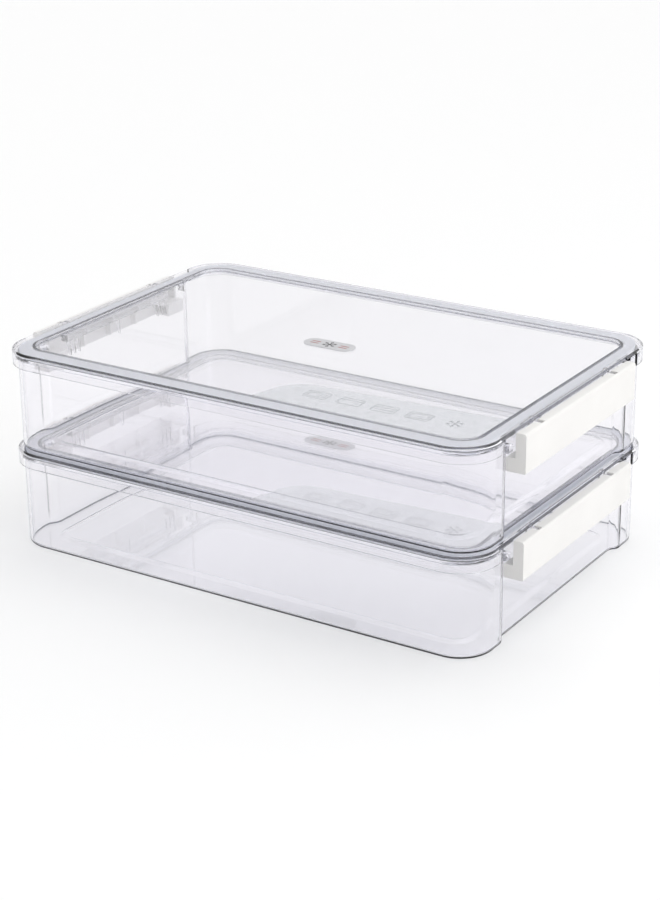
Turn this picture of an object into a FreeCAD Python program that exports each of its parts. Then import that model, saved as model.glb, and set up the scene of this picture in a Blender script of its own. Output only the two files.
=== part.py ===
import FreeCAD, Part
import math
import os

from FreeCAD import Vector

# Stack of two identical lidded fridge bins.  +X runs along the long side,
# +Z is up, the origin is the middle of the underside of the lower bin.

# ---- one tier -------------------------------------------------------------
TIER_HEIGHT = 71.5          # underside of a bin to the top of its lid
TIER_NAMES = ("lower", "upper")

# ---- lid ------------------------------------------------------------------
LID_HALF_X = 186.0
LID_HALF_Y = 125.0
LID_CORNER = 27.0
LID_DEPTH = 11.0            # skirt height
LID_PLATE = 2.0
LID_SKIRT = 1.6
LID_EDGE_FILLET = 1.6
PANEL_INSET_X = 14.3        # border width at the short ends
PANEL_INSET_Y = 16.1        # border width at the long sides
PANEL_DEPTH = 1.9
PANEL_CORNER = 14.0
SKIRT_GAP_HALF = 95.0       # the skirt is left out along the latch
EDGE_SETBACK = 1.0
EDGE_SETBACK_HALF = 78.6

# ---- bin ------------------------------------------------------------------
WALL = 2.0
WALL_INSET_X = 3.0          # lid edge to bin wall at the corner pillars
WALL_INSET_Y = 4.2
WALL_CORNER = 24.0
RIM_TOP = TIER_HEIGHT - 3.6
RIM_THICK = 2.5
RIM_INSET = 2.1
RIM_CORNER = 25.0
RIM_OPEN_CORNER = 20.0
FLOOR = 1.3
PAD_RISE = 1.2              # the middle of the floor is raised this much
PAD_RAMP = 6.0              # width of the slope up to it
PAD_INSET_X = 25.0          # lid edge to the top of the slope
PAD_INSET_Y = 27.5
PAD_CORNER = 11.0
BASE_FILLET = 2.5
CAVITY_FILLET = 1.5
RECESS_INSET = 7.3          # lid edge to the recessed end wall
RECESS_FLAT_HALF = 77.0
RECESS_OPEN_HALF = 87.0
RIM_CUT_INSET = 5.0
RAIL_INSET = 1.4
RAIL_LOW = -14.0            # heights below are measured from the lid top
RAIL_HIGH = -9.5
RAIL_HALF = 84.5
RAIL_GROOVE = 1.3
GUSSET_Y = (-56.0, -51.0, -46.0, 0.0, 46.0, 51.0, 56.0)
GUSSET_THICK = 1.2
GUSSET_DROP = 10.5

# ---- latch ----------------------------------------------------------------
LATCH_HALF = 77.5
LATCH_OUT = 6.9             # outer face, outward of the lid edge
LATCH_IN = -0.3
LATCH_TOP = -2.2
LATCH_BOTTOM = -28.4
LATCH_SKIN = 1.6
LATCH_WALL = 1.8
LATCH_ROUND = 1.8
FOOT_IN = -6.9
FOOT_TOP = -19.0
FOOT_START = 59.5           # the two feet fill the ends beyond this
FOOT_NOTCH = (59.0, 79.0)
LIP_HALF = 44.0
LIP_IN = -1.2
LIP_TOP = -14.6
LIP_THICK = 1.6
PIVOT_OUT = 2.7
PIVOT_Z = -5.5
PIN_RADIUS = 1.1
BORE_RADIUS = 1.4
EYE_RADIUS = 2.2
ARM_Y = 52.0
ARM_WIDTH = 3.6
ARM_NOTCH = 4.4
ARM_ROOT_IN = -4.4

# ---- seal and label -------------------------------------------------------
SEAL_OUT_X = 5.4
SEAL_OUT_Y = 2.8
SEAL_IN_X = 11.6
SEAL_IN_Y = 13.4
SEAL_CORNER = 24.4
SEAL_IN_CORNER = 16.0
LABEL_HALF = 19.6
LABEL_RADIUS = 7.5
LABEL_THICK = 0.3
LABEL_Y = 3.5


def rounded_wire(half_x, half_y, radius, z):
    """Closed rounded rectangle about the Z axis."""
    k = radius * (1.0 - math.sqrt(0.5))
    edges = []
    corners = ((1, 1), (-1, 1), (-1, -1), (1, -1))
    for index, (sx, sy) in enumerate(corners):
        on_x = Vector(sx * half_x, sy * (half_y - radius), z)
        on_y = Vector(sx * (half_x - radius), sy * half_y, z)
        mid = Vector(sx * (half_x - k), sy * (half_y - k), z)
        start, end = (on_x, on_y) if index % 2 == 0 else (on_y, on_x)
        edges.append(Part.Arc(start, mid, end).toShape())
        nx, ny = corners[(index + 1) % 4]
        if index % 2 == 0:
            following = Vector(nx * (half_x - radius), ny * half_y, z)
        else:
            following = Vector(nx * half_x, ny * (half_y - radius), z)
        edges.append(Part.makeLine(end, following))
    return Part.Wire(edges)


def slab(half_x, half_y, radius, z0, z1):
    """Rounded rectangular prism."""
    face = Part.Face(rounded_wire(half_x, half_y, radius, z0))
    return face.extrude(Vector(0, 0, z1 - z0))


def pad(z0, z1):
    """Low frustum with rounded corners, wider at the bottom by the slope."""
    half_x = LID_HALF_X - PAD_INSET_X
    half_y = LID_HALF_Y - PAD_INSET_Y
    wide = rounded_wire(half_x + PAD_RAMP, half_y + PAD_RAMP, PAD_CORNER + PAD_RAMP, z0)
    narrow = rounded_wire(half_x, half_y, PAD_CORNER, z1)
    return Part.makeLoft([wide, narrow], True, True)


def block(x0, x1, y0, y1, z0, z1):
    """Box from its six limits."""
    return Part.makeBox(x1 - x0, y1 - y0, z1 - z0, Vector(x0, y0, z0))


def mirrored_x(shape):
    """Copy on the other short end."""
    return shape.mirror(Vector(0, 0, 0), Vector(1, 0, 0))


def mirrored_y(shape):
    """Copy on the other long side."""
    return shape.mirror(Vector(0, 0, 0), Vector(0, 1, 0))


def edges_at(shape, height):
    """All edges lying flat at one height."""
    return [e for e in shape.Edges
            if abs(e.BoundBox.ZMin - height) < 1e-4 and abs(e.BoundBox.ZMax - height) < 1e-4]


def step_arcs(sx, sy, z):
    """S-bend from a corner pillar into the recessed end wall, as two arcs."""
    depth = RECESS_INSET - WALL_INSET_X
    run = RECESS_OPEN_HALF - RECESS_FLAT_HALF
    angle = 2.0 * math.atan2(depth, run)
    radius = run / (2.0 * math.sin(angle))
    pillar_x = LID_HALF_X - WALL_INSET_X
    recess_x = LID_HALF_X - RECESS_INSET

    def outer(t):
        return Vector(sx * (pillar_x - radius * (1.0 - math.cos(t))),
                      sy * (RECESS_OPEN_HALF - radius * math.sin(t)), z)

    def inner(t):
        return Vector(sx * (recess_x + radius * (1.0 - math.cos(t))),
                      sy * (RECESS_FLAT_HALF + radius * math.sin(t)), z)

    first = (outer(0.0), outer(angle / 2.0), outer(angle))
    second = (outer(angle), inner(angle / 2.0), inner(0.0))
    return first, second


def bin_outline(z):
    """Plan of the bin wall: rounded corners and a shallow recess at each end."""
    half_x = LID_HALF_X - WALL_INSET_X
    half_y = LID_HALF_Y - WALL_INSET_Y
    k = WALL_CORNER * (1.0 - math.sqrt(0.5))
    edges = []

    def corner(sx, sy):
        return (Vector(sx * half_x, sy * (half_y - WALL_CORNER), z),
                Vector(sx * (half_x - k), sy * (half_y - k), z),
                Vector(sx * (half_x - WALL_CORNER), sy * half_y, z))

    def arc(points):
        edges.append(Part.Arc(*points).toShape())

    for sx, sy in ((1, 1), (-1, -1)):
        first, second = step_arcs(sx, -sy, z)
        arc(first)
        arc(second)
        third, fourth = step_arcs(sx, sy, z)
        edges.append(Part.makeLine(second[2], fourth[2]))
        arc(fourth[::-1])
        arc(third[::-1])
        near = corner(sx, sy)
        edges.append(Part.makeLine(third[0], near[0]))
        arc(near)
        far = corner(-sx, sy)
        edges.append(Part.makeLine(near[2], far[2]))
        arc(far[::-1])
        onward = step_arcs(-sx, sy, z)[0]
        edges.append(Part.makeLine(far[0], onward[0]))
    return Part.Wire(edges)


def end_rail(top):
    """Catch rail with two ridges and its gussets, for the +X end."""
    wall_x = LID_HALF_X - RECESS_INSET - 0.4
    outer_x = LID_HALF_X - RAIL_INSET
    rail = block(wall_x, outer_x, -RAIL_HALF, RAIL_HALF, top + RAIL_LOW, top + RAIL_HIGH)
    corners = [e for e in rail.Edges
               if e.BoundBox.XMin > outer_x - 0.01 and e.BoundBox.ZLength > 1.0]
    rail = rail.makeFillet(1.5, corners)
    groove_mid = top + (RAIL_LOW + RAIL_HIGH) / 2.0
    rail = rail.cut(block(outer_x - 0.8, outer_x + 1.0, -RAIL_HALF - 1.0, RAIL_HALF + 1.0,
                          groove_mid - RAIL_GROOVE / 2.0, groove_mid + RAIL_GROOVE / 2.0))
    for y in GUSSET_Y:
        z_top = top + RAIL_LOW + 0.2
        points = [Vector(wall_x, y - GUSSET_THICK / 2.0, z_top),
                  Vector(outer_x - 1.8, y - GUSSET_THICK / 2.0, z_top),
                  Vector(wall_x + 1.4, y - GUSSET_THICK / 2.0, z_top - GUSSET_DROP),
                  Vector(wall_x, y - GUSSET_THICK / 2.0, z_top - GUSSET_DROP)]
        face = Part.Face(Part.makePolygon(points + points[:1]))
        rail = rail.fuse(face.extrude(Vector(0, GUSSET_THICK, 0)))
    return rail


def make_bin():
    """Open bin standing on z = 0."""
    outline = bin_outline(0.0)
    body = Part.Face(outline).extrude(Vector(0, 0, RIM_TOP - RIM_THICK / 2.0))
    body = body.makeFillet(BASE_FILLET, edges_at(body, 0.0))

    inner = outline.makeOffset2D(-WALL)
    cavity = Part.Face(inner).extrude(Vector(0, 0, RIM_TOP))
    cavity.translate(Vector(0, 0, FLOOR))
    cavity = cavity.makeFillet(CAVITY_FILLET, edges_at(cavity, FLOOR))

    body = body.cut(cavity).fuse(pad(FLOOR, FLOOR + PAD_RISE)).cut(pad(0.0, PAD_RISE))

    open_x = LID_HALF_X - RECESS_INSET - WALL
    open_y = LID_HALF_Y - WALL_INSET_Y - WALL
    rim = slab(LID_HALF_X - RIM_INSET, LID_HALF_Y - RIM_INSET, RIM_CORNER,
               RIM_TOP - RIM_THICK, RIM_TOP)
    rim = rim.cut(slab(open_x, open_y, RIM_OPEN_CORNER, RIM_TOP - RIM_THICK - 1.0, RIM_TOP + 1.0))
    rim = rim.makeFillet(0.6, edges_at(rim, RIM_TOP))
    relief = block(LID_HALF_X - RIM_CUT_INSET, LID_HALF_X + 5.0,
                   -RECESS_OPEN_HALF - 2.0, RECESS_OPEN_HALF + 2.0,
                   RIM_TOP - RIM_THICK - 1.0, RIM_TOP + 1.0)
    rim = rim.cut(relief).cut(mirrored_x(relief))
    body = body.fuse(rim)

    rail = end_rail(TIER_HEIGHT)
    body = body.fuse(rail).fuse(mirrored_x(rail))

    notch = block(LID_HALF_X - RECESS_INSET, LID_HALF_X + 5.0, FOOT_NOTCH[0], FOOT_NOTCH[1],
                  TIER_HEIGHT + RAIL_LOW - 1.0, RIM_TOP + 1.0)
    for cutter in (notch, mirrored_y(notch)):
        body = body.cut(cutter).cut(mirrored_x(cutter))
    return body.removeSplitter()


def hinge_arm(y, top):
    """Eye under the lid edge that carries one latch pin, for the +X end."""
    axis_x = LID_HALF_X + PIVOT_OUT
    axis_z = top + PIVOT_Z
    y0 = y - ARM_WIDTH / 2.0
    eye = Part.makeCylinder(EYE_RADIUS, ARM_WIDTH, Vector(axis_x, y0, axis_z), Vector(0, 1, 0))
    bar = block(LID_HALF_X + ARM_ROOT_IN, axis_x, y0, y0 + ARM_WIDTH,
                axis_z - EYE_RADIUS, axis_z + EYE_RADIUS)
    root = block(LID_HALF_X + ARM_ROOT_IN, LID_HALF_X - EDGE_SETBACK, y0, y0 + ARM_WIDTH,
                 axis_z - EYE_RADIUS, top - LID_PLATE / 2.0)
    bore = Part.makeCylinder(BORE_RADIUS, ARM_WIDTH + 2.0, Vector(axis_x, y0 - 1.0, axis_z),
                             Vector(0, 1, 0))
    return eye.fuse(bar).fuse(root).cut(bore)


def make_lid(top):
    """Lid with skirt, sunk panel and four hinge eyes."""
    low = top - LID_DEPTH
    lid = slab(LID_HALF_X, LID_HALF_Y, LID_CORNER, low, top)
    lid = lid.makeFillet(LID_EDGE_FILLET, edges_at(lid, top))
    under = slab(LID_HALF_X - LID_SKIRT, LID_HALF_Y - LID_SKIRT, LID_CORNER - LID_SKIRT,
                 low - 1.0, top - LID_PLATE)
    lid = lid.cut(under)

    panel_x = LID_HALF_X - PANEL_INSET_X
    panel_y = LID_HALF_Y - PANEL_INSET_Y
    backing = slab(panel_x + LID_PLATE, panel_y + LID_PLATE, PANEL_CORNER + LID_PLATE,
                   top - PANEL_DEPTH - LID_PLATE, top - LID_PLATE / 2.0)
    sink = slab(panel_x, panel_y, PANEL_CORNER, top - PANEL_DEPTH, top + 1.0)
    sink = sink.makeFillet(0.8, edges_at(sink, top - PANEL_DEPTH))
    lid = lid.fuse(backing).cut(sink)

    skirt_gap = block(LID_HALF_X - LID_SKIRT - 0.1, LID_HALF_X + 1.0,
                      -SKIRT_GAP_HALF, SKIRT_GAP_HALF, low - 1.0, top - LID_PLATE)
    setback = block(LID_HALF_X - EDGE_SETBACK, LID_HALF_X + 1.0,
                    -EDGE_SETBACK_HALF, EDGE_SETBACK_HALF, low - 1.0, top + 1.0)
    for cutter in (skirt_gap, setback):
        lid = lid.cut(cutter).cut(mirrored_x(cutter))
    for y in (-ARM_Y, ARM_Y):
        arm = hinge_arm(y, top)
        lid = lid.fuse(arm).fuse(mirrored_x(arm))
    return lid.removeSplitter()


def make_latch(top):
    """Clip for the +X end: skin, two feet, catch lip, ribs and pins."""
    edge = LID_HALF_X
    outline = [(LATCH_IN, LATCH_TOP), (LATCH_OUT, LATCH_TOP), (LATCH_OUT, LATCH_BOTTOM),
               (FOOT_IN, LATCH_BOTTOM), (FOOT_IN, FOOT_TOP), (LATCH_IN, FOOT_TOP)]
    points = [Vector(edge + x, -LATCH_HALF, top + z) for x, z in outline]
    latch = Part.Face(Part.makePolygon(points + points[:1])).extrude(
        Vector(0, 2.0 * LATCH_HALF, 0))

    def long_edge(x, z):
        return [e for e in latch.Edges
                if e.BoundBox.YLength > LATCH_HALF
                and abs(e.BoundBox.XMin - edge - x) < 0.01
                and abs(e.BoundBox.ZMin - top - z) < 0.01]

    latch = latch.makeFillet(LATCH_ROUND, long_edge(LATCH_OUT, LATCH_TOP))
    small = long_edge(LATCH_OUT, LATCH_BOTTOM) + long_edge(FOOT_IN, LATCH_BOTTOM)
    small += long_edge(FOOT_IN, FOOT_TOP) + long_edge(LATCH_IN, LATCH_TOP)
    latch = latch.makeFillet(0.8, small)

    skin_in = edge + LATCH_OUT - LATCH_SKIN
    cheek = LATCH_HALF - LATCH_WALL
    middle = block(edge + FOOT_IN - 1.0, skin_in, -FOOT_START, FOOT_START,
                   top + LATCH_BOTTOM - 1.0, top + LATCH_TOP - LATCH_WALL)
    upper = block(edge + LATCH_IN - 1.0, skin_in, -cheek, cheek,
                  top + FOOT_TOP, top + LATCH_TOP - LATCH_WALL)
    tube = block(edge + FOOT_IN + LATCH_WALL, skin_in, -cheek, cheek,
                 top + LATCH_BOTTOM + LATCH_WALL, top + FOOT_TOP - LATCH_WALL)
    middle = middle.makeFillet(1.4, [e for e in middle.Edges
                                     if e.BoundBox.YLength > 1.0
                                     and e.BoundBox.XMin > skin_in - 0.01
                                     and e.BoundBox.ZMin > top + LATCH_BOTTOM])
    latch = latch.cut(middle).cut(upper).cut(tube)

    lip = block(edge + LIP_IN, skin_in + 0.4, -LIP_HALF, LIP_HALF,
                top + LIP_TOP - LIP_THICK, top + LIP_TOP)
    latch = latch.fuse(lip)
    for y in (-30.0, 0.0, 30.0):
        latch = latch.fuse(block(edge + 1.0, skin_in + 0.4, y - 0.7, y + 0.7,
                                 top + LATCH_BOTTOM + 1.5, top + LATCH_TOP - 1.0))

    axis_x = edge + PIVOT_OUT
    axis_z = top + PIVOT_Z
    for sy in (-1, 1):
        middle_y = sy * ARM_Y
        latch = latch.cut(block(edge + LATCH_IN - 1.0, skin_in,
                                middle_y - ARM_NOTCH / 2.0, middle_y + ARM_NOTCH / 2.0,
                                top + LATCH_TOP - LATCH_WALL - 0.1, top + 1.0))
        for side in (-1, 1):
            inner_y = middle_y + side * ARM_NOTCH / 2.0
            outer_y = inner_y + side * 1.6
            latch = latch.fuse(block(edge + LATCH_IN + 0.4, skin_in + 0.4,
                                     min(inner_y, outer_y), max(inner_y, outer_y),
                                     axis_z - 2.4, top + LATCH_TOP - 0.9))
        pin = Part.makeCylinder(PIN_RADIUS, ARM_NOTCH + 2.0,
                                Vector(axis_x, middle_y - ARM_NOTCH / 2.0 - 1.0, axis_z),
                                Vector(0, 1, 0))
        latch = latch.fuse(pin)
    return latch.removeSplitter()


def make_seal(top):
    """Flat ring lying between the lid plate and the bin rim, out to the sunk panel's step."""
    z0 = top - TIER_HEIGHT + RIM_TOP
    z1 = top - LID_PLATE
    ring = slab(LID_HALF_X - SEAL_OUT_X, LID_HALF_Y - SEAL_OUT_Y, SEAL_CORNER, z0, z1)
    hole = slab(LID_HALF_X - SEAL_IN_X, LID_HALF_Y - SEAL_IN_Y, SEAL_IN_CORNER, z0 - 1.0, z1 + 1.0)
    return ring.cut(hole)


def make_label(top):
    """Oval badge lying in the sunk panel."""
    z0 = top - PANEL_DEPTH
    label = slab(LABEL_HALF, LABEL_RADIUS, LABEL_RADIUS - 0.01, z0, z0 + LABEL_THICK)
    label.translate(Vector(0, LABEL_Y, 0))
    return label


def export(name, shape):
    """Write one piece, checked to be a single valid solid."""
    if len(shape.Solids) != 1 or not shape.isValid():
        raise ValueError("bad solid for " + name)
    shape.Solids[0].exportStep("parts/" + name + ".step")


os.makedirs("parts", exist_ok=True)
for tier, prefix in enumerate(TIER_NAMES):
    base = tier * TIER_HEIGHT
    lid_top = base + TIER_HEIGHT
    tray = make_bin()
    tray.translate(Vector(0, 0, base))
    latch_right = make_latch(lid_top)
    export(prefix + "_bin", tray)
    export(prefix + "_lid", make_lid(lid_top))
    export(prefix + "_seal", make_seal(lid_top))
    export(prefix + "_label", make_label(lid_top))
    export(prefix + "_latch_right", latch_right)
    export(prefix + "_latch_left", mirrored_x(latch_right))
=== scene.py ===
import math

import bmesh
import bpy
from mathutils import Matrix, Vector


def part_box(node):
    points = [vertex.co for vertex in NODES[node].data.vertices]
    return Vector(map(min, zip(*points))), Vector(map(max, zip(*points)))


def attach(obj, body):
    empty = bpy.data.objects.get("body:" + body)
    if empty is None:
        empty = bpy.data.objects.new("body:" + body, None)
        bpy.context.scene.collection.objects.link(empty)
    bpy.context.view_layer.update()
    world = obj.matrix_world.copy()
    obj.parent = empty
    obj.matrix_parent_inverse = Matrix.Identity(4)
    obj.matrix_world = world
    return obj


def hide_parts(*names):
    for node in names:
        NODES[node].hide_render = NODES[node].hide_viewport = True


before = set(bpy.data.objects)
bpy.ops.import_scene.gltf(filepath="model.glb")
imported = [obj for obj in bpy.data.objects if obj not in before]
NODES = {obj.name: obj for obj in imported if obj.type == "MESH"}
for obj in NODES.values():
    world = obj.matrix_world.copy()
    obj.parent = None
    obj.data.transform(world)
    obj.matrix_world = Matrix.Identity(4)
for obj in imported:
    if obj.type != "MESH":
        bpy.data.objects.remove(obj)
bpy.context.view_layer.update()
TIERS = ("lower", "upper")
MM = 0.001

# ---- sizes that the finer meshes share with the CAD pieces, in mm -------------
LID_LOW, LID_HIGH = (corner.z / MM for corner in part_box("lower_lid"))
TIER_HEIGHT = LID_HIGH
HALF_X = 186.0                  # lid edge at the short ends
HALF_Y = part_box("lower_lid")[1].y / MM

# ---- camera, from the photograph's viewing angle ------------------------------
CAMERA_AZIMUTH = 32.74          # degrees, 0 looks along +Y
CAMERA_ELEVATION = 21.56
CAMERA_ROLL = -0.62
CAMERA_DISTANCE = 1.484
CAMERA_TARGET = Vector((0.001, 0.001, 0.0654))
LENS, SENSOR = 85.9, 36.0       # mm, with the sensor along the tall side

PAINTED_EDGE_SHADE_NAVY = (0.003, 0.006, 0.018)   # painted shade: dark navy painted on marked plastic edges in place of their dark refractions and contact shade

# ---- material helpers ----------------------------------------------------------
class Tree:
    """Small wrapper that adds and links shader nodes."""

    def __init__(self, name):
        self.material = bpy.data.materials.new(name)
        self.material.use_nodes = True
        self.tree = self.material.node_tree
        self.tree.nodes.clear()
        self.output = self.add("ShaderNodeOutputMaterial")

    def add(self, kind, **settings):
        node = self.tree.nodes.new(kind)
        for key, value in settings.items():
            setattr(node, key, value)
        return node

    def link(self, source, target):
        self.tree.links.new(source, target)

    def noise(self, scale, detail=4.0, roughness=0.5):
        """Noise in object coordinates, in waves per metre."""
        coordinates = self.add("ShaderNodeTexCoord")
        texture = self.add("ShaderNodeTexNoise")
        texture.inputs["Scale"].default_value = scale
        texture.inputs["Detail"].default_value = detail
        texture.inputs["Roughness"].default_value = roughness
        self.link(coordinates.outputs["Object"], texture.inputs["Vector"])
        return texture.outputs["Fac"]

    def ramp(self, source, stops):
        """Colour ramp from (position, grey or colour) stops."""
        node = self.add("ShaderNodeValToRGB")
        elements = node.color_ramp.elements
        while len(elements) < len(stops):
            elements.new(0.5)
        for element, (position, value) in zip(elements, stops):
            element.position = position
            colour = value if isinstance(value, tuple) else (value, value, value)
            element.color = (*colour, 1.0)
        self.link(source, node.inputs["Fac"])
        return node.outputs["Color"]

    def bump(self, height, strength, distance):
        node = self.add("ShaderNodeBump")
        node.inputs["Strength"].default_value = strength
        node.inputs["Distance"].default_value = distance
        self.link(height, node.inputs["Height"])
        return node.outputs["Normal"]


def clear_plastic(name):
    """Clear moulded plastic: refracts, carries painted shade at its grazing and marked edges, and
    lets lamps through.
    """
    t = Tree(name)
    body = t.add("ShaderNodeBsdfPrincipled")
    facing = t.add("ShaderNodeLayerWeight")
    facing.inputs["Blend"].default_value = 0.5
    # painted shade: the base colour is the plastic's faint tint where it faces the eye and turns
    # dark navy at grazing angles, standing in for the dark refractions along curved edges
    rim = t.ramp(facing.outputs["Facing"], ((0.0, (0.995, 0.99, 1.0)), (0.71, (0.98, 0.975, 0.99)),
                                            (0.86, (0.5, 0.53, 0.63)), (1.0, (0.03, 0.045, 0.1))))
    # painted shade: the per-point edge weight mixes dark navy into the base colour along marked
    # edges
    edge = t.add("ShaderNodeMix", data_type="RGBA")
    weight = t.add("ShaderNodeAttribute", attribute_name="edge")
    t.link(weight.outputs["Fac"], edge.inputs["Factor"])
    t.link(rim, edge.inputs["A"])
    edge.inputs["B"].default_value = (*PAINTED_EDGE_SHADE_NAVY, 1.0)
    t.link(edge.outputs["Result"], body.inputs["Base Color"])
    body.inputs["Transmission Weight"].default_value = 1.0
    body.inputs["IOR"].default_value = 1.52
    roughness = t.ramp(t.noise(60.0), ((0.3, 0.008), (0.7, 0.02)))
    t.link(roughness, body.inputs["Roughness"])
    through = t.add("ShaderNodeBsdfTransparent")
    shade = t.ramp(facing.outputs["Facing"], ((0.0, 1.0), (0.7, 1.0), (1.0, 0.6)))
    t.link(shade, through.inputs["Color"])
    path = t.add("ShaderNodeLightPath")
    either = t.add("ShaderNodeMath", operation="MAXIMUM")
    t.link(path.outputs["Is Shadow Ray"], either.inputs[0])
    t.link(path.outputs["Is Diffuse Ray"], either.inputs[1])
    mix = t.add("ShaderNodeMixShader")
    t.link(either.outputs[0], mix.inputs[0])
    t.link(body.outputs[0], mix.inputs[1])
    t.link(through.outputs[0], mix.inputs[2])
    t.link(mix.outputs[0], t.output.inputs["Surface"])
    depth = t.add("ShaderNodeVolumeAbsorption")
    depth.inputs["Color"].default_value = (0.32, 0.35, 0.6, 1.0)
    depth.inputs["Density"].default_value = 11.0
    t.link(depth.outputs[0], t.output.inputs["Volume"])
    return t.material


def white_plastic():
    """Opaque white latch plastic with a fine moulded grain."""
    t = Tree("white_plastic")
    body = t.add("ShaderNodeBsdfPrincipled")
    colour = t.ramp(t.noise(25.0, 3.0), ((0.3, (0.76, 0.75, 0.735)), (0.7, (0.79, 0.78, 0.765))))
    t.link(colour, body.inputs["Base Color"])
    t.link(t.ramp(t.noise(180.0), ((0.3, 0.3), (0.7, 0.42))), body.inputs["Roughness"])
    body.inputs["Subsurface Weight"].default_value = 0.1
    body.inputs["Subsurface Radius"].default_value = (0.003, 0.003, 0.003)
    t.link(t.bump(t.noise(2500.0, 2.0), 0.06, 0.0002), body.inputs["Normal"])
    t.link(body.outputs[0], t.output.inputs["Surface"])
    return t.material


def silicone():
    """Translucent ring seal."""
    t = Tree("silicone")
    body = t.add("ShaderNodeBsdfPrincipled")
    body.inputs["Base Color"].default_value = (0.8, 0.82, 0.88, 1.0)
    body.inputs["Transmission Weight"].default_value = 0.4
    body.inputs["IOR"].default_value = 1.41
    t.link(t.ramp(t.noise(90.0), ((0.3, 0.4), (0.7, 0.55))), body.inputs["Roughness"])
    t.link(body.outputs[0], t.output.inputs["Surface"])
    return t.material


def badge_film():
    """Silver-grey badge film."""
    t = Tree("badge_film")
    body = t.add("ShaderNodeBsdfPrincipled")
    colour = t.ramp(t.noise(400.0), ((0.3, (0.5, 0.5, 0.52)), (0.7, (0.58, 0.58, 0.6))))
    t.link(colour, body.inputs["Base Color"])
    t.link(t.ramp(t.noise(300.0), ((0.3, 0.3), (0.7, 0.4))), body.inputs["Roughness"])
    t.link(body.outputs[0], t.output.inputs["Surface"])
    return t.material


def ink(name, low, high):
    """Printed ink whose coverage varies a little."""
    t = Tree(name)
    body = t.add("ShaderNodeBsdfPrincipled")
    t.link(t.ramp(t.noise(900.0), ((0.35, low), (0.65, high))), body.inputs["Base Color"])
    t.link(t.ramp(t.noise(700.0), ((0.3, 0.35), (0.7, 0.5))), body.inputs["Roughness"])
    t.link(body.outputs[0], t.output.inputs["Surface"])
    return t.material


def frosted_film():
    """Faint matt tint printed on the sunk panel."""
    t = Tree("frosted_film")
    matt = t.add("ShaderNodeBsdfDiffuse")
    t.link(t.ramp(t.noise(250.0), ((0.3, (0.6, 0.63, 0.64)), (0.7, (0.66, 0.69, 0.7)))),
           matt.inputs["Color"])
    through = t.add("ShaderNodeBsdfTransparent")
    mix = t.add("ShaderNodeMixShader")
    t.link(t.ramp(t.noise(120.0), ((0.3, 0.2), (0.7, 0.26))), mix.inputs[0])
    t.link(through.outputs[0], mix.inputs[1])
    t.link(matt.outputs[0], mix.inputs[2])
    t.link(mix.outputs[0], t.output.inputs["Surface"])
    return t.material


def assign(node, material):
    node.data.materials.clear()
    node.data.materials.append(material)


# ---- lofted shells ---------------------------------------------------------------
EDGE = 0.02                     # half width of a sharp step between two stations
CORNER_STEPS = 20
RECESS_DEPTH = 4.3
RECESS_FLAT = 77.0
RECESS_OPEN = 87.0
RAIL_END = 84.5
FOOT_NOTCH = (59.0, 79.0)
RIM_RELIEF = 89.0
SKIRT_GAP = 95.0
SETBACK_HALF = 78.6
GUSSETS = (56.0, 51.0, 46.0, 0.0)
GUSSET_HALF = 0.6
END_STATION_LIMIT = 96.0
SIDE_STATION_LIMIT = 150.0
SIDE_STEPS = 12                 # stations from the middle of a long side to its limit
BEND_STEPS = 24                 # stations across the bend into the recess
RAIL_TURN_Y, RAIL_TURN = 83.0, 1.5      # where the rail's round end starts, and its radius


def end_stations():
    """Places along y where every outline has a point at the short ends."""
    sharp = [RAIL_END, *FOOT_NOTCH, RIM_RELIEF, SKIRT_GAP, SETBACK_HALF]
    sharp += [g + s * GUSSET_HALF for g in GUSSETS for s in (-1, 1)]
    ys = {0.0}
    for y in sharp:
        ys |= {y - EDGE, y + EDGE}
    bend = RECESS_OPEN - RECESS_FLAT
    ys |= {RECESS_FLAT + i * bend / BEND_STEPS for i in range(BEND_STEPS + 1)}
    ys |= {RAIL_TURN_Y + RAIL_TURN * math.sin(math.radians(a)) for a in range(0, 90, 15)}
    ys |= {y for y in (8.0, 16.0, 24.0, 32.0, 40.0, 68.0, 73.0, 92.0, END_STATION_LIMIT)}
    ys |= {-y for y in ys}
    kept = []
    for y in sorted(ys):
        if not kept or y - kept[-1] > 0.6 * EDGE:
            kept.append(y)
    return kept


END_STATIONS = end_stations()
SIDE_STATIONS = [SIDE_STATION_LIMIT * i / SIDE_STEPS for i in range(-SIDE_STEPS, SIDE_STEPS + 1)]


def recess_inset(y, wall):
    """How far the end wall stands in at y, measured wall mm inside its outer face."""
    y = abs(y)
    run = RECESS_OPEN - RECESS_FLAT
    angle = 2.0 * math.atan2(RECESS_DEPTH, run)
    radius = run / (2.0 * math.sin(angle))
    if y >= RECESS_OPEN:
        return wall
    if y <= RECESS_FLAT:
        return wall + RECESS_DEPTH
    if y >= RECESS_OPEN - (radius - wall) * math.sin(angle):
        return radius - math.sqrt((radius - wall) ** 2 - (RECESS_OPEN - y) ** 2)
    return RECESS_DEPTH - radius + math.sqrt((radius + wall) ** 2 - (y - RECESS_FLAT) ** 2)


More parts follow.
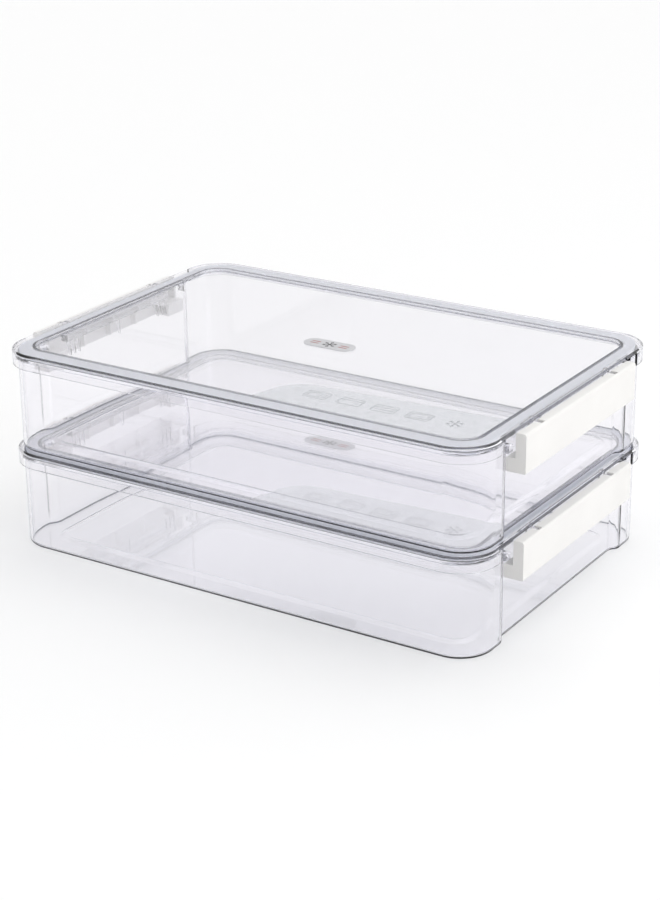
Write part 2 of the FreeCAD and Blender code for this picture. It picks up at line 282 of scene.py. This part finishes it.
def ring(inset_x, inset_y, radius, z, end=None, height=None):
    """Closed plan outline.  end(y) gives the inset at the short ends, height(y) the z there."""
    half_y = HALF_Y - inset_y
    straight_y = half_y - radius
    straight_x = HALF_X - inset_x - radius
    squeeze = min(1.0, (straight_y - 0.5) / END_STATION_LIMIT)
    points = []

    def end_points(sign):
        ys = [-straight_y] + [y * squeeze for y in END_STATIONS] + [straight_y]
        for y in ys if sign > 0 else reversed(ys):
            inset = end(y) if end else inset_x
            level = height(y) if height else z
            points.append((sign * (HALF_X - inset), y, level))

    def corner_points(sx, sy, start):
        for i in range(1, CORNER_STEPS):
            a = math.radians(start + 90.0 * i / CORNER_STEPS)
            points.append((sx * straight_x + radius * math.cos(a),
                           sy * straight_y + radius * math.sin(a), z))

    squeeze_x = min(1.0, (straight_x - 0.5) / SIDE_STATION_LIMIT)
    xs = [-straight_x] + [x * squeeze_x for x in SIDE_STATIONS] + [straight_x]
    end_points(1)
    corner_points(1, 1, 0.0)
    points.extend((x, half_y, z) for x in reversed(xs))
    corner_points(-1, 1, 90.0)
    end_points(-1)
    corner_points(-1, -1, 180.0)
    points.extend((x, -half_y, z) for x in xs)
    corner_points(1, -1, 270.0)
    return points


def add_loft(mesh, rings, z0, caps=True):
    """Add a closed solid through the rings, capped or joined end to end, standing z0 mm up.

    A ring's point is x, y, z and, where painted shade darkens the plastic's edge, how dark that
    painted shade is.
    """
    count = len(rings[0])
    # painted shade weights: how much dark navy each point gets
    painted_shade_layer = mesh.verts.layers.float.get("edge") or mesh.verts.layers.float.new("edge")
    rows = []
    for ring_points in rings:
        row = []
        for x, y, z, *dark in ring_points:
            point = mesh.verts.new((x * MM, y * MM, (z + z0) * MM))
            point[painted_shade_layer] = dark[0] if dark else 0.0
            row.append(point)
        rows.append(row)
    pairs = list(zip(rows, rows[1:]))
    if caps:
        mesh.faces.new(list(reversed(rows[0])))
        mesh.faces.new(rows[-1])
    else:
        pairs.append((rows[-1], rows[0]))
    for low, high in pairs:
        for i in range(count):
            j = (i + 1) % count
            mesh.faces.new((low[i], low[j], high[j], high[i]))


def make_object(name, mesh, merge=2e-6):
    """Blender object from a bmesh, with welded points and outward faces."""
    bmesh.ops.remove_doubles(mesh, verts=mesh.verts, dist=merge)
    bmesh.ops.recalc_face_normals(mesh, faces=mesh.faces)
    data = bpy.data.meshes.new(name)
    mesh.to_mesh(data)
    mesh.free()
    piece = bpy.data.objects.new(name, data)
    bpy.context.scene.collection.objects.link(piece)
    return piece


def smooth(piece):
    """Smooth shading that keeps real edges sharp and flat faces flat."""
    piece.data.shade_smooth()
    piece.data.set_sharp_from_angle(angle=math.radians(32.0))
    weighted = piece.modifiers.new("weighted", "WEIGHTED_NORMAL")
    weighted.weight = 100
    weighted.keep_sharp = True


def loft(name, rings, z0, caps=True):
    mesh = bmesh.new()
    add_loft(mesh, rings, z0, caps)
    return make_object(name, mesh)


def combine(piece, other, operation):
    """Boolean of piece with other, kept in piece's mesh; other is used up."""
    boolean = piece.modifiers.new("boolean", "BOOLEAN")
    boolean.object = other
    boolean.operation = operation
    boolean.solver = "EXACT"
    graph = bpy.context.evaluated_depsgraph_get()
    result = bpy.data.meshes.new_from_object(piece.evaluated_get(graph),
                                             preserve_all_data_layers=True, depsgraph=graph)
    piece.modifiers.clear()
    piece.data = result
    bpy.data.objects.remove(other)


def arc(centre, radius, start, stop, steps):
    """Points (inset, z) on an arc, angles in degrees."""
    angles = [math.radians(start + (stop - start) * i / steps) for i in range(steps + 1)]
    return [(centre[0] + radius * math.cos(a), centre[1] + radius * math.sin(a)) for a in angles]


def paint_edge_shade(ring_points, painted_shade_amount):
    """The same ring with painted shade on its edge: dark navy stands in for shade there."""
    return [(x, y, z, painted_shade_amount) for x, y, z, *_ in ring_points]


def peak(value, centre, half_width):
    return max(0.0, 1.0 - abs(value - centre) / half_width)


# ---- bin ------------------------------------------------------------------------
AIR = 0.1                       # thin air film under each bin and under each seal
WALL_X, WALL_Y, WALL_CORNER = 3.0, 4.2, 24.0
WALL_THICK = 2.0
BASE_FILLET = 2.5
CAVITY_FILLET = 1.5
FLOOR = 1.3
PAD_RISE = 1.2
PAD_X, PAD_Y, PAD_CORNER = 22.0, 24.5, 14.0     # middle of the slope up to the raised floor
PAD_SLOPE_HALF = 3.0
PAD_STEPS = 12
RIM_HIGH = TIER_HEIGHT - 3.6 - AIR
RIM_INSET, RIM_CUT_INSET = 2.1, 5.0     # rim edge at the corners, and along the latch
RIM_CORNER, RIM_ROUND, RIM_CHAMFER = 25.0, 0.6, 0.3
MOUTH_X, MOUTH_Y, MOUTH_CORNER = 9.6, 6.5, 20.0     # inner edge of the rim
BASE_PAINTED_SHADE, BEND_PAINTED_SHADE = 1.0, 0.75        # how dark the painted shade is on the base edge and the recess bend
BEND_Y, BEND_HALF = 84.5, 1.2
RECESS_X = 170.0                # beyond this a point lies on a short end
RIM_LOW = RIM_HIGH - 2.5
RAIL_LOW, RAIL_HIGH = TIER_HEIGHT - 14.0, TIER_HEIGHT - 9.5
RAIL_MID = (RAIL_LOW + RAIL_HIGH) / 2.0
RAIL_INSET, GROOVE_INSET, GROOVE_HALF = 1.4, 2.2, 0.65
NOTCH_LOW, NOTCH_INSET = RAIL_LOW - 1.0, 7.3
GUSSET_LOW = RAIL_LOW - 10.3
GUSSET_FOOT_INSET, GUSSET_REACH = 6.3, 3.1


def in_notch(y):
    return FOOT_NOTCH[0] < abs(y) < FOOT_NOTCH[1]


def outer_end(z):
    """Inset of the bin's outer surface at the short ends, as a function of y."""
    def inset(y):
        wall = WALL_X + recess_inset(y, 0.0)
        out = wall
        a = abs(y)
        if RAIL_LOW < z < RAIL_HIGH and a < RAIL_END:
            out = RAIL_INSET
            if a >= RAIL_TURN_Y:
                chord = math.sqrt(max(0.0, RAIL_TURN ** 2 - (a - RAIL_TURN_Y) ** 2))
                out = RAIL_INSET + RAIL_TURN - chord
            if abs(z - RAIL_MID) < GROOVE_HALF:
                out = max(out, GROOVE_INSET)
        elif GUSSET_LOW < z < RAIL_LOW and any(abs(a - g) < GUSSET_HALF for g in GUSSETS):
            rise = (z - GUSSET_LOW) / (RAIL_LOW - GUSSET_LOW)
            out = min(wall, GUSSET_FOOT_INSET - GUSSET_REACH * rise)
        elif RIM_LOW < z:
            out = RIM_CUT_INSET if a < RIM_RELIEF else RIM_INSET
        if z > NOTCH_LOW and in_notch(y):
            out = max(out, NOTCH_INSET)
        return out
    return inset


def wall_ring(depth, z):
    """Outline depth mm inside the outer wall face."""
    return ring(WALL_X + depth, WALL_Y + depth, WALL_CORNER - depth, z,
                end=lambda y: WALL_X + recess_inset(y, depth))


def rim_ring(trim, z):
    shape = outer_end(RIM_HIGH - 1.0)
    return ring(RIM_INSET + trim, RIM_INSET + trim, RIM_CORNER - trim, z,
                end=lambda y: shape(y) + trim)


def pad_ramp():
    """Soft S-slope up to the raised middle of the floor, as (inset, z)."""
    slope = []
    for i in range(PAD_STEPS + 1):
        share = i / PAD_STEPS
        rise = PAD_RISE * 0.5 * (1.0 - math.cos(math.pi * share))
        slope.append((PAD_SLOPE_HALF * (2.0 * share - 1.0), rise))
    return slope


def bin_rings():
    rings = []
    for inset, z in reversed(pad_ramp()):
        rings.append(ring(PAD_X + inset, PAD_Y + inset, PAD_CORNER - inset, z))
    # painted shade: dark navy on the base fillet stands in for the contact shade and dark
    # refractions at the bottom edge
    for i, (depth, z) in enumerate(arc((BASE_FILLET, BASE_FILLET), BASE_FILLET, 270.0, 180.0, 14)):
        rings.append(paint_edge_shade(wall_ring(depth, z), BASE_PAINTED_SHADE * min(1.0, 1.5 * peak(i, 7, 5))))
    levels = [12.0, 30.0, GUSSET_LOW - EDGE, GUSSET_LOW + EDGE]
    for z in (NOTCH_LOW, RAIL_LOW, RAIL_MID - GROOVE_HALF, RAIL_MID + GROOVE_HALF, RAIL_HIGH,
              RIM_LOW):
        levels += [z - EDGE, z + EDGE]
    for z in levels[:-1]:
        wall = ring(WALL_X, WALL_Y, WALL_CORNER, z, end=outer_end(z))
        # painted shade: dark navy along the bend into the end recess
        rings.append([(x, y, z, BEND_PAINTED_SHADE * peak(abs(y), BEND_Y, BEND_HALF)) if abs(x) > RECESS_X
                      else (x, y, z) for x, y, z in wall])
    rings.append(rim_ring(RIM_CHAMFER, RIM_LOW))
    rings.append(rim_ring(0.0, RIM_LOW + RIM_CHAMFER))
    for trim, z in arc((RIM_ROUND, RIM_HIGH - RIM_ROUND), RIM_ROUND, 180.0, 90.0, 6):
        rings.append(rim_ring(trim, z))
    for inset, z in ((-RIM_CHAMFER, RIM_HIGH), (0.0, RIM_HIGH - RIM_CHAMFER), (0.0, RIM_LOW + 0.2)):
        rings.append(ring(MOUTH_X + inset, MOUTH_Y + inset, MOUTH_CORNER - inset, z))
    rings.append(wall_ring(WALL_THICK, RIM_LOW - RIM_CHAMFER))
    for z in (45.0, 25.0):
        rings.append(wall_ring(WALL_THICK, z))
    centre = (WALL_THICK + CAVITY_FILLET, FLOOR + CAVITY_FILLET)
    for depth, z in arc(centre, CAVITY_FILLET, 180.0, 270.0, 14):
        rings.append(wall_ring(depth, z))
    for inset, z in pad_ramp():
        rings.append(ring(PAD_X + inset, PAD_Y + inset, PAD_CORNER - inset, z + FLOOR))
    return rings


# ---- lid ------------------------------------------------------------------------
LID_CORNER = 27.0
PANEL_X, PANEL_Y, PANEL_CORNER = 14.3, 16.1, 14.0
PANEL_Z = TIER_HEIGHT - 1.9
PANEL_ROUND, SKIRT_ROUND, UNDER_ROUND, EDGE_ROUND = 0.9, 0.5, 0.6, 1.6
SKIRT = 1.6
PLATE = 2.0
UNDER_Z = TIER_HEIGHT - 3.9     # underside of the sunk panel
UNDER_INSET = -2.0              # its edge, from the panel's edge
# How dark the painted shade on each edge is
PANEL_PAINTED_SHADE, OUTER_PAINTED_SHADE, SKIRT_PAINTED_SHADE, UNDER_PAINTED_SHADE = 0.85, 0.25, 0.25, 1.0
SETBACK = 1.0                   # the edge stands back this much along the latch
PIVOT_OUT, PIVOT_Z = 2.7, -5.5  # latch pin, from the lid edge and the lid top
EYE_RADIUS, BORE_RADIUS = 2.2, 1.4
EYE_Y, EYE_WIDTH, EYE_ROOT = 52.0, 3.6, -4.4
SEAL_OUT_X, SEAL_OUT_Y, SEAL_OUT_CORNER = 5.4, 2.8, 24.4
SEAL_IN_X, SEAL_IN_Y, SEAL_IN_CORNER = 11.6, 13.4, 16.0
LABEL_Y, LABEL_THICK = 3.5, 0.3

# ---- print, in mm -----------------------------------------------------------------
INK = 0.03                      # thickness of a printed line
FILM, FILM_LIFT, FILM_MARGIN = 0.03, 0.02, 0.9
ICON_FIRST_X, ICON_PITCH, ICON_Y = 46.5, 25.1, -84.0
ICON_HALF_X, ICON_HALF_Y = 8.2, 5.4
ICON_LINE = 0.45
FLAKE_KNEE, FLAKE_TWIG, FLAKE_SPREAD = 0.55, 0.35, 35.0     # shares of the arm, and degrees
FILM_FOOT_X, FILM_TOP_Y = 10.0, -60.5
FILM_BEND = ((15.5, -88.0), (20.0, -69.8), (42.0, -68.2))   # control points of its inner corner


def lid_ring(inset, z):
    """Outline inset mm inside the lid edge, cut back along the latches."""
    def end(y):
        if abs(y) < SETBACK_HALF:
            return max(inset, SETBACK)
        return inset

    def height(y):
        return max(z, TIER_HEIGHT - PLATE) if abs(y) < SKIRT_GAP else z

    return ring(inset, inset, LID_CORNER - inset, z, end=end, height=height)


def panel_ring(inset, z):
    return ring(PANEL_X + inset, PANEL_Y + inset, PANEL_CORNER - inset, z)


def lid_rings():
    top = TIER_HEIGHT
    rings = []
    for inset, z in arc((PANEL_ROUND, PANEL_Z + PANEL_ROUND), PANEL_ROUND, 270.0, 180.0, 8):
        rings.append(panel_ring(inset, z))
    # painted shade: dark navy on the panel's lip, the outer fillet, the skirt foot and the step
    # under the panel stands in for the dark refractions along these edges
    lip = arc((-PANEL_ROUND, top - PANEL_ROUND), PANEL_ROUND, 0.0, 90.0, 8)
    for i, (inset, z) in enumerate(lip):
        rings.append(paint_edge_shade(panel_ring(inset, z), PANEL_PAINTED_SHADE * i / 8.0))
    rings.append(paint_edge_shade(panel_ring(-1.6, top), PANEL_PAINTED_SHADE))
    rings.append(panel_ring(-2.4, top))
    outer = arc((EDGE_ROUND, top - EDGE_ROUND), EDGE_ROUND, 90.0, 180.0, 12)
    for i, (inset, z) in enumerate(outer):
        rings.append(paint_edge_shade(lid_ring(inset, z), OUTER_PAINTED_SHADE * peak(i, 8, 3)))
    foot = arc((SKIRT_ROUND, LID_LOW + SKIRT_ROUND), SKIRT_ROUND, 180.0, 270.0, 5)
    for i, (inset, z) in enumerate(foot):
        rings.append(paint_edge_shade(lid_ring(inset, z), SKIRT_PAINTED_SHADE * peak(i, 2, 3)))
    for inset, z in arc((SKIRT - SKIRT_ROUND, LID_LOW + SKIRT_ROUND), SKIRT_ROUND, 270.0, 360.0, 5):
        rings.append(lid_ring(inset, z))
    under = top - PLATE
    for inset, z in arc((SKIRT + UNDER_ROUND, under - UNDER_ROUND), UNDER_ROUND, 180.0, 90.0, 5):
        rings.append(lid_ring(inset, z))
    for out, drop in ((0.4, 0.0), (0.1, 0.1), (0.0, 0.4)):
        rings.append(panel_ring(UNDER_INSET - out, under - drop))
    step = arc((UNDER_INSET + UNDER_ROUND, UNDER_Z + UNDER_ROUND), UNDER_ROUND, 180.0, 270.0, 6)
    for i, (inset, z) in enumerate(step):
        rings.append(paint_edge_shade(panel_ring(inset, z), UNDER_PAINTED_SHADE * min(1.0, i / 3.0)))
    rings.append(paint_edge_shade(panel_ring(0.2, UNDER_Z), UNDER_PAINTED_SHADE))
    rings.append(panel_ring(0.7, UNDER_Z))
    return rings


def eye_solids(z0):
    """Outer shapes of the four hinge eyes: a round nose, a bar and a root under the plate."""
    mesh = bmesh.new()
    nose = arc((0.0, 0.0), EYE_RADIUS, 90.0, -90.0, 24)
    outline = [(PIVOT_OUT + x, PIVOT_Z + z) for x, z in nose]
    outline += [(EYE_ROOT, PIVOT_Z - EYE_RADIUS), (EYE_ROOT, -PLATE / 2.0),
                (-SETBACK, -PLATE / 2.0), (-SETBACK, PIVOT_Z + EYE_RADIUS)]
    for sx in (-1, 1):
        for sy in (-1, 1):
            rings = []
            for side in (-1, 1):
                y = sy * EYE_Y + side * EYE_WIDTH / 2.0
                rings.append([(sx * (HALF_X + x), y, TIER_HEIGHT + z) for x, z in outline])
            add_loft(mesh, rings, z0)
    return make_object("eyes", mesh)


def eye_bores(z0):
    """Four round holes for the latch pins."""
    mesh = bmesh.new()
    circle = arc((PIVOT_OUT, PIVOT_Z), BORE_RADIUS, 0.0, 360.0 - 360.0 / 32, 31)
    for sx in (-1, 1):
        for sy in (-1, 1):
            rings = []
            for side in (-1, 1):
                y = sy * EYE_Y + side * (EYE_WIDTH / 2.0 + 1.0)
                rings.append([(sx * (HALF_X + x), y, TIER_HEIGHT + z) for x, z in circle])
            add_loft(mesh, rings, z0)
    return make_object("bores", mesh)


def lid_shell(name, z0):
    lid = loft(name, lid_rings(), z0)
    combine(lid, eye_solids(z0), "UNION")
    combine(lid, eye_bores(z0), "DIFFERENCE")
    return lid


def seal_shell(name, z0):
    """Flat ring between the lid plate and the rim, with an air film on both sides."""
    top = TIER_HEIGHT - PLATE - AIR / 2.0
    low = RIM_HIGH + AIR + AIR / 2.0
    outer, inner = (SEAL_OUT_X, SEAL_OUT_Y, SEAL_OUT_CORNER), (SEAL_IN_X, SEAL_IN_Y, SEAL_IN_CORNER)
    rings = [ring(*outer, low), ring(*outer, top), ring(*inner, top), ring(*inner, low)]
    return loft(name, rings, z0, caps=False)


# ---- print on the lid --------------------------------------------------------------
def add_stroke(mesh, points, width, z, closed=False):
    """Add a thin flat line solid along points (x, y) at height z, all in mm."""
    count = len(points)
    rows = []
    for i, (x, y) in enumerate(points):
        before = points[i - 1] if i or closed else points[0]
        after = points[(i + 1) % count] if i < count - 1 or closed else points[-1]
        first = Vector((x - before[0], y - before[1]))
        second = Vector((after[0] - x, after[1] - y))
        first = (first if first.length else second).normalized()
        second = (second if second.length else first).normalized()
        along = (first + second).normalized()
        reach = width / 2.0 / max(0.5, along.dot(second))
        across = Vector((-along.y, along.x)) * reach
        rows.append([(x + across.x, y + across.y, z), (x - across.x, y - across.y, z),
                     (x - across.x, y - across.y, z + INK), (x + across.x, y + across.y, z + INK)])
    add_loft(mesh, rows, 0.0, caps=not closed)


def rounded_box(cx, cy, half_x, half_y, radius, steps=5):
    """Closed outline with round corners."""
    points = []
    for i, (sx, sy) in enumerate(((1, 1), (-1, 1), (-1, -1), (1, -1))):
        centre = (cx + sx * (half_x - radius), cy + sy * (half_y - radius))
        points += arc(centre, radius, 90.0 * i, 90.0 * (i + 1), steps)
    return points


def flake(cx, cy, radius):
    """Six-armed snow crystal as open lines."""
    lines = []
    for k in range(6):
        a = math.radians(60.0 * k + 30.0)
        arm_x, arm_y = radius * math.cos(a), radius * math.sin(a)
        if k < 3:
            lines.append([(cx - arm_x, cy - arm_y), (cx + arm_x, cy + arm_y)])
        knee = (cx + FLAKE_KNEE * arm_x, cy + FLAKE_KNEE * arm_y)
        for turn in (-FLAKE_SPREAD, FLAKE_SPREAD):
            b = a + math.radians(turn)
            lines.append([knee, (knee[0] + FLAKE_TWIG * radius * math.cos(b),
                                 knee[1] + FLAKE_TWIG * radius * math.sin(b))])
    return lines


def lid_icons(name, z0):
    """Five plain outline icons: covered dish, tray, dish rack, drawer and snow crystal."""
    mesh = bmesh.new()
    z = z0 + PANEL_Z + FILM_LIFT + FILM
    boxes, lines = [], []
    for k in range(4):
        cx = ICON_FIRST_X + k * ICON_PITCH
        boxes.append(rounded_box(cx, ICON_Y, ICON_HALF_X, ICON_HALF_Y, 1.6))
        left, right = cx - ICON_HALF_X, cx + ICON_HALF_X
        if k == 0:
            boxes.append(rounded_box(cx - 2.0, ICON_Y, 4.4, 3.2, 1.0))
            lines.append([(right - 2.4, ICON_Y - 3.0), (right - 2.4, ICON_Y + 3.0)])
        elif k == 1:
            lines.append([(left + 0.4, ICON_Y + 2.4), (right - 0.4, ICON_Y + 2.4)])
        elif k == 2:
            lines += [[(left + 0.4, ICON_Y + h), (right - 0.4, ICON_Y + h)] for h in (-1.8, 1.8)]
        else:
            boxes.append(rounded_box(cx, ICON_Y, ICON_HALF_X - 2.0, ICON_HALF_Y - 2.0, 0.8))
            lines.append([(cx - 2.0, ICON_Y), (cx + 2.0, ICON_Y)])
    lines += flake(ICON_FIRST_X + 4 * ICON_PITCH, ICON_Y, ICON_HALF_Y + 0.6)
    for box in boxes:
        add_stroke(mesh, box, ICON_LINE, z, closed=True)
    for line in lines:
        add_stroke(mesh, line, ICON_LINE, z)
    return make_object(name, mesh, merge=1e-9)


def tint_film(name, z0):
    """Tinted corner of the sunk panel behind the icons, with a round inner corner."""
    edge_x = HALF_X - PANEL_X - FILM_MARGIN
    edge_y = -(HALF_Y - PANEL_Y - FILM_MARGIN)
    radius = PANEL_CORNER - FILM_MARGIN
    start, middle, stop = FILM_BEND
    outline = [(FILM_FOOT_X, edge_y), start]
    for i in range(1, 11):
        t = i / 10.0
        outline.append(tuple((1 - t) ** 2 * a + 2 * t * (1 - t) * b + t ** 2 * c
                             for a, b, c in zip(start, middle, stop)))
    outline.append((edge_x, FILM_TOP_Y))
    outline += arc((edge_x - radius, edge_y + radius), radius, 0.0, -90.0, 10)
    mesh = bmesh.new()
    z = z0 + PANEL_Z + FILM_LIFT
    add_loft(mesh, [[(x, y, z) for x, y in outline], [(x, y, z + FILM) for x, y in outline]], 0.0)
    return make_object(name, mesh)


def badge_mark(name, z0, part):
    """Plain mark on the badge: a snow crystal, or the two short bars beside it."""
    mesh = bmesh.new()
    z = z0 + PANEL_Z + LABEL_THICK
    if part == "flake":
        for line in flake(0.0, LABEL_Y, 5.2):
            add_stroke(mesh, line, 0.7, z)
    else:
        for sx in (-1, 1):
            for dy in (-1.6, 1.6):
                add_stroke(mesh, [(sx * 8.0, LABEL_Y + dy), (sx * 14.5, LABEL_Y + dy)], 1.0, z)
    return make_object(name, mesh, merge=1e-9)


# ---- pieces on their bodies -----------------------------------------------------------
def add_piece(piece, body, material, replaced=None):
    assign(piece, material)
    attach(piece, body)
    if replaced:
        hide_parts(replaced)


def dress(materials):
    """Materials on the CAD nodes that stay, and finer pieces in place of the others."""
    for index, tier in enumerate(TIERS):
        z0 = index * TIER_HEIGHT
        for part, material in materials["nodes"].items():
            assign(NODES[f"{tier}_{part}"], material)
        tray = loft(f"{tier}_bin_shell", bin_rings(), z0 + AIR)
        lid = lid_shell(f"{tier}_lid_shell", z0)
        seal = seal_shell(f"{tier}_seal_ring", z0)
        for piece in (tray, lid, seal):
            smooth(piece)
        lid_body = f"{tier}_lid_body"
        clear, rubber = materials["nodes"]["lid"], materials["nodes"]["seal"]
        add_piece(tray, f"{tier}_bin_body", clear, f"{tier}_bin")
        add_piece(lid, lid_body, clear, f"{tier}_lid")
        add_piece(seal, lid_body, rubber, f"{tier}_seal")
        add_piece(tint_film(f"{tier}_print_tint", z0), lid_body, materials["film"])
        add_piece(lid_icons(f"{tier}_print_icons", z0), lid_body, materials["grey"])
        add_piece(badge_mark(f"{tier}_badge_flake", z0, "flake"), lid_body,
                  materials["dark"])
        add_piece(badge_mark(f"{tier}_badge_bars", z0, "bars"), lid_body,
                  materials["red"])


def make_materials():
    clear = clear_plastic("clear_plastic")
    latch = white_plastic()
    nodes = {"bin": clear, "lid": clear, "seal": silicone(), "label": badge_film(),
             "latch_right": latch, "latch_left": latch}
    return {"nodes": nodes, "film": frosted_film(),
            "grey": ink("ink_grey", (0.3, 0.31, 0.33), (0.36, 0.37, 0.39)),
            "dark": ink("ink_dark", (0.035, 0.035, 0.04), (0.06, 0.06, 0.065)),
            "red": ink("ink_red", (0.3, 0.05, 0.05), (0.36, 0.07, 0.07))}


# ---- stage -----------------------------------------------------------------------
SKY = ((0.0, 0.55), (0.4, 0.55), (0.6, 0.75), (0.8, 1.0), (1.0, 1.0))   # by sine of elevation
SKY_STRENGTH = 1.28
SKY_LEAN = (0.35, 0.6, 0.0)     # extra brightness towards the right and the back
FLOOR_WHITE = 0.92
FLOOR_DROP = -0.0002            # metres, just under the feet
FLOOR_RADIUS, RIM_RADIUS = 8.0, 3.0
RIM_TURN, RIM_STEPS = 80.0, 16
FLOOR_STEPS = 96
MAX_BOUNCES, GLOSSY_BOUNCES = 40, 12


def make_floor():
    """Round pale floor that curves up into a low wall all round, so no horizon shows."""
    steps = FLOOR_STEPS
    points, faces = [], []
    for turn in range(RIM_STEPS + 1):
        a = math.radians(RIM_TURN * turn / RIM_STEPS)
        radius = FLOOR_RADIUS + RIM_RADIUS * math.sin(a)
        height = FLOOR_DROP + RIM_RADIUS * (1.0 - math.cos(a))
        circle = [2.0 * math.pi * k / steps for k in range(steps)]
        points += [(radius * math.cos(b), radius * math.sin(b), height) for b in circle]
    faces.append(tuple(range(steps)))
    for row in range(RIM_STEPS):
        for k in range(steps):
            low, high = row * steps, (row + 1) * steps
            faces.append((low + k, high + k, high + (k + 1) % steps, low + (k + 1) % steps))
    mesh = bpy.data.meshes.new("floor")
    mesh.from_pydata(points, [], faces)
    for face in mesh.polygons[1:]:
        face.use_smooth = True
    floor = bpy.data.objects.new("floor", mesh)
    bpy.context.scene.collection.objects.link(floor)
    t = Tree("floor_white")
    body = t.add("ShaderNodeBsdfDiffuse")
    body.inputs["Color"].default_value = (FLOOR_WHITE, FLOOR_WHITE, FLOOR_WHITE, 1.0)
    t.link(body.outputs[0], t.output.inputs["Surface"])
    mesh.materials.append(t.material)


def make_world():
    """Soft studio: dim near the horizon, bright overhead, and a little brighter from the right."""
    world = bpy.data.worlds.new("studio")
    bpy.context.scene.world = world
    world.use_nodes = True
    tree = world.node_tree
    tree.nodes.clear()

    def add(kind, **settings):
        node = tree.nodes.new(kind)
        for key, value in settings.items():
            setattr(node, key, value)
        return node

    direction = add("ShaderNodeTexCoord").outputs["Generated"]
    split = add("ShaderNodeSeparateXYZ")
    tree.links.new(direction, split.inputs[0])
    ramp = add("ShaderNodeValToRGB")
    tree.links.new(split.outputs["Z"], ramp.inputs["Fac"])
    elements = ramp.color_ramp.elements
    while len(elements) < len(SKY):
        elements.new(0.5)
    for element, (position, grey) in zip(elements, SKY):
        element.position = position
        element.color = (grey, grey, grey, 1.0)
    side = add("ShaderNodeVectorMath", operation="DOT_PRODUCT")
    tree.links.new(direction, side.inputs[0])
    side.inputs[1].default_value = SKY_LEAN
    gain = add("ShaderNodeMath", operation="MULTIPLY_ADD")
    tree.links.new(side.outputs["Value"], gain.inputs[0])
    gain.inputs[1].default_value = SKY_STRENGTH
    gain.inputs[2].default_value = SKY_STRENGTH
    background = add("ShaderNodeBackground")
    tree.links.new(ramp.outputs["Color"], background.inputs["Color"])
    tree.links.new(gain.outputs[0], background.inputs["Strength"])
    output = add("ShaderNodeOutputWorld")
    tree.links.new(background.outputs[0], output.inputs["Surface"])


def area_light(name, location, target, size, power):
    data = bpy.data.lights.new(name, "AREA")
    data.shape = "RECTANGLE"
    data.size, data.size_y = size
    data.energy = power
    light = bpy.data.objects.new(name, data)
    light.location = location
    light.rotation_euler = (Vector(target) - Vector(location)).to_track_quat("-Z", "Y").to_euler()
    bpy.context.scene.collection.objects.link(light)


def make_camera():
    azimuth = math.radians(CAMERA_AZIMUTH)
    elevation = math.radians(CAMERA_ELEVATION)
    back = Vector((math.sin(azimuth) * math.cos(elevation),
                   -math.cos(azimuth) * math.cos(elevation), math.sin(elevation)))
    data = bpy.data.cameras.new("camera")
    data.sensor_width = SENSOR
    data.lens = LENS
    camera = bpy.data.objects.new("camera", data)
    camera.rotation_mode = "QUATERNION"
    camera.location = CAMERA_TARGET + back * CAMERA_DISTANCE
    turn = (-back).to_track_quat("-Z", "Y")
    roll = Matrix.Rotation(math.radians(CAMERA_ROLL), 3, "Z").to_quaternion()
    camera.rotation_quaternion = turn @ roll
    bpy.context.scene.collection.objects.link(camera)
    bpy.context.scene.camera = camera


def make_stage():
    make_floor()
    make_world()
    area_light("side", (1.6, 0.0, 0.45), (0, 0, 0.05), (1.2, 0.6), 4.5)
    make_camera()
    scene = bpy.context.scene
    scene.view_settings.view_transform = "Standard"
    scene.cycles.max_bounces = MAX_BOUNCES
    scene.cycles.transmission_bounces = MAX_BOUNCES
    scene.cycles.transparent_max_bounces = MAX_BOUNCES
    scene.cycles.glossy_bounces = GLOSSY_BOUNCES


dress(make_materials())
make_stage()
